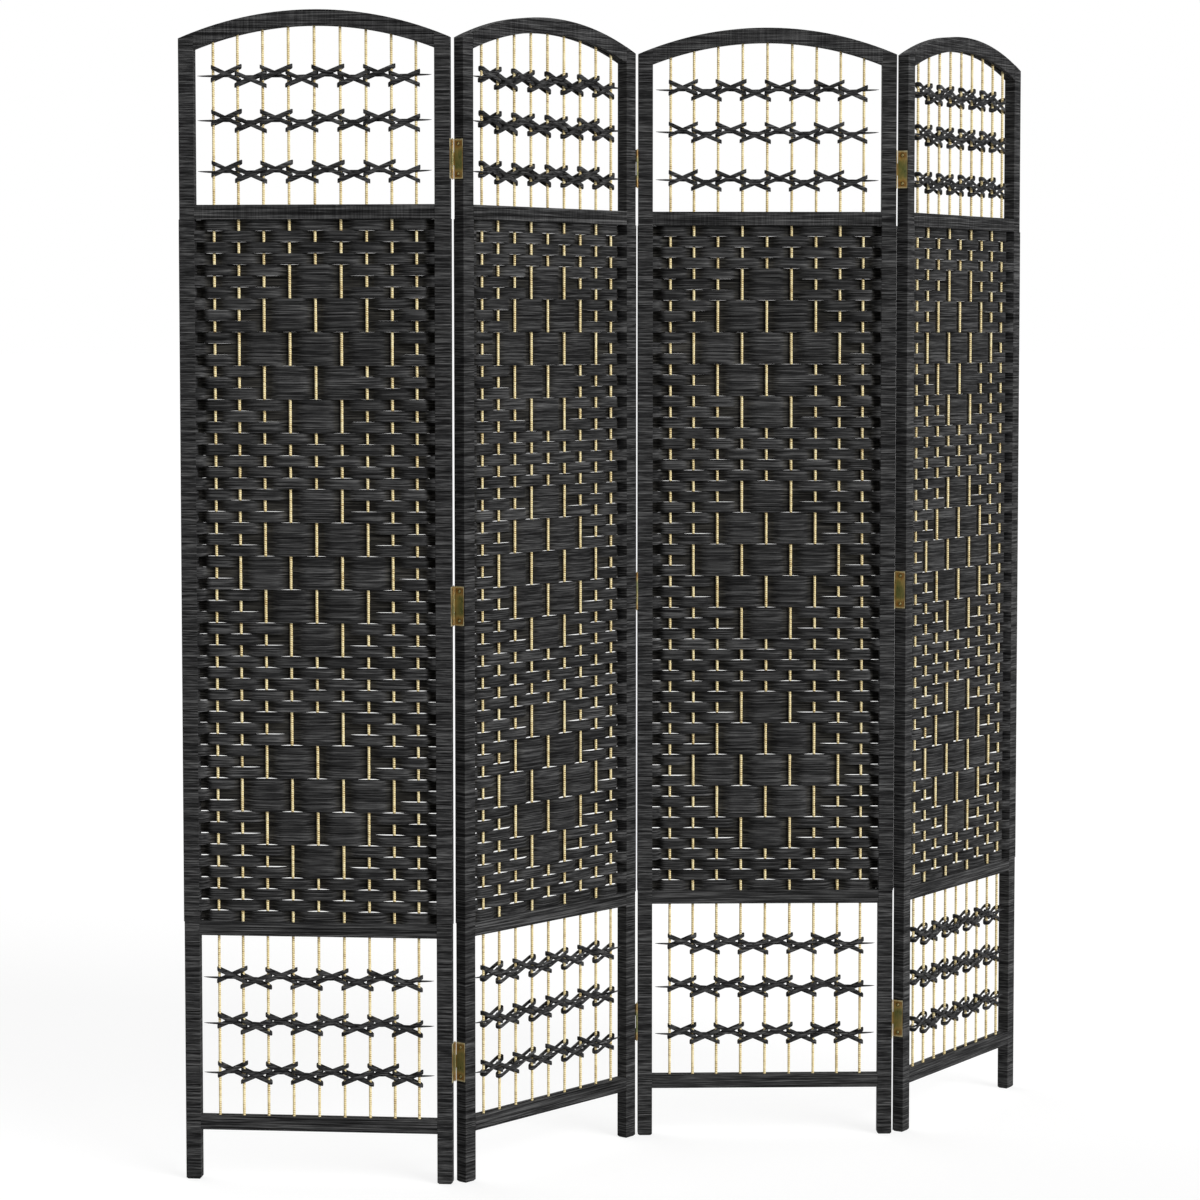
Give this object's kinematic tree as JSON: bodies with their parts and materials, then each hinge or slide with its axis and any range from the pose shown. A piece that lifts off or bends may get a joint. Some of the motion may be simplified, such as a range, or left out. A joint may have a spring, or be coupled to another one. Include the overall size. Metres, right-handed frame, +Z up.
{
  "type": "folding room divider",
  "caption": "Folding room divider: arched panels of dark fibre ribbon woven over slim rods, joined by brass butt hinges, standing in a zigzag, opening flat or folding shut.",
  "frame": {"origin": "on the floor, at the middle of the box around the standing screen", "axes": "+Z up, +X along the row of panels from the first to the last, front towards -Y"},
  "size_m": [1.4344, 0.236, 1.7],
  "materials": {
    "wrapped_frame": "dark charcoal fibre glued over a wooden frame, satin, finely streaked",
    "woven_fibre": "dark charcoal flat fibre ribbon, streaked along its length",
    "knotted_fibre": "dark charcoal twisted fibre ribbon",
    "warp_rods": "natural tan cane, matt, mottled brown",
    "hinge_brass": "antique brass, dulled",
    "screw_brass": "antique brass, dulled"
  },
  "bodies": {
    "panel_1": {"panel_1_left_stile": "wrapped_frame", "panel_1_right_stile": "wrapped_frame", "panel_1_arch_rail": "wrapped_frame", "panel_1_upper_rail": "wrapped_frame", "panel_1_lower_rail": "wrapped_frame", "panel_1_bottom_rail": "wrapped_frame", "panel_1_warp_rods": "warp_rods", "panel_1_weft_ribbons": "woven_fibre", "panel_1_upper_knots": "knotted_fibre", "panel_1_lower_knots": "knotted_fibre", "fold_1_left_leaves": "hinge_brass", "fold_1_left_screws": "screw_brass", "fold_1_pins": "screw_brass"},
    "panel_2": {"panel_2_left_stile": "wrapped_frame", "panel_2_right_stile": "wrapped_frame", "panel_2_arch_rail": "wrapped_frame", "panel_2_upper_rail": "wrapped_frame", "panel_2_lower_rail": "wrapped_frame", "panel_2_bottom_rail": "wrapped_frame", "panel_2_warp_rods": "warp_rods", "panel_2_weft_ribbons": "woven_fibre", "panel_2_upper_knots": "knotted_fibre", "panel_2_lower_knots": "knotted_fibre", "fold_1_right_leaves": "hinge_brass", "fold_1_right_screws": "screw_brass", "fold_2_left_leaves": "hinge_brass", "fold_2_left_screws": "screw_brass", "fold_2_pins": "screw_brass"},
    "panel_3": {"panel_3_left_stile": "wrapped_frame", "panel_3_right_stile": "wrapped_frame", "panel_3_arch_rail": "wrapped_frame", "panel_3_upper_rail": "wrapped_frame", "panel_3_lower_rail": "wrapped_frame", "panel_3_bottom_rail": "wrapped_frame", "panel_3_warp_rods": "warp_rods", "panel_3_weft_ribbons": "woven_fibre", "panel_3_upper_knots": "knotted_fibre", "panel_3_lower_knots": "knotted_fibre", "fold_2_right_leaves": "hinge_brass", "fold_2_right_screws": "screw_brass", "fold_3_left_leaves": "hinge_brass", "fold_3_left_screws": "screw_brass", "fold_3_pins": "screw_brass"},
    "panel_4": {"panel_4_left_stile": "wrapped_frame", "panel_4_right_stile": "wrapped_frame", "panel_4_arch_rail": "wrapped_frame", "panel_4_upper_rail": "wrapped_frame", "panel_4_lower_rail": "wrapped_frame", "panel_4_bottom_rail": "wrapped_frame", "panel_4_warp_rods": "warp_rods", "panel_4_weft_ribbons": "woven_fibre", "panel_4_upper_knots": "knotted_fibre", "panel_4_lower_knots": "knotted_fibre", "fold_3_right_leaves": "hinge_brass", "fold_3_right_screws": "screw_brass"}
  },
  "joints": [
    {"name": "fold_1", "type": "hinge", "parent": "panel_1", "child": "panel_2", "pos_m": [-0.37143, -0.09096, 0], "axis": [0, 0, 1], "range_deg": [-55.7, 124.3]},
    {"name": "fold_2", "type": "hinge", "parent": "panel_2", "child": "panel_3", "pos_m": [-0.00008, 0.04977, 0], "axis": [0, 0, -1], "range_deg": [-48.9, 131.1]},
    {"name": "fold_3", "type": "hinge", "parent": "panel_3", "child": "panel_4", "pos_m": [0.36746, -0.10063, 0], "axis": [0, 0, 1], "range_deg": [-56, 124]}
  ]
}
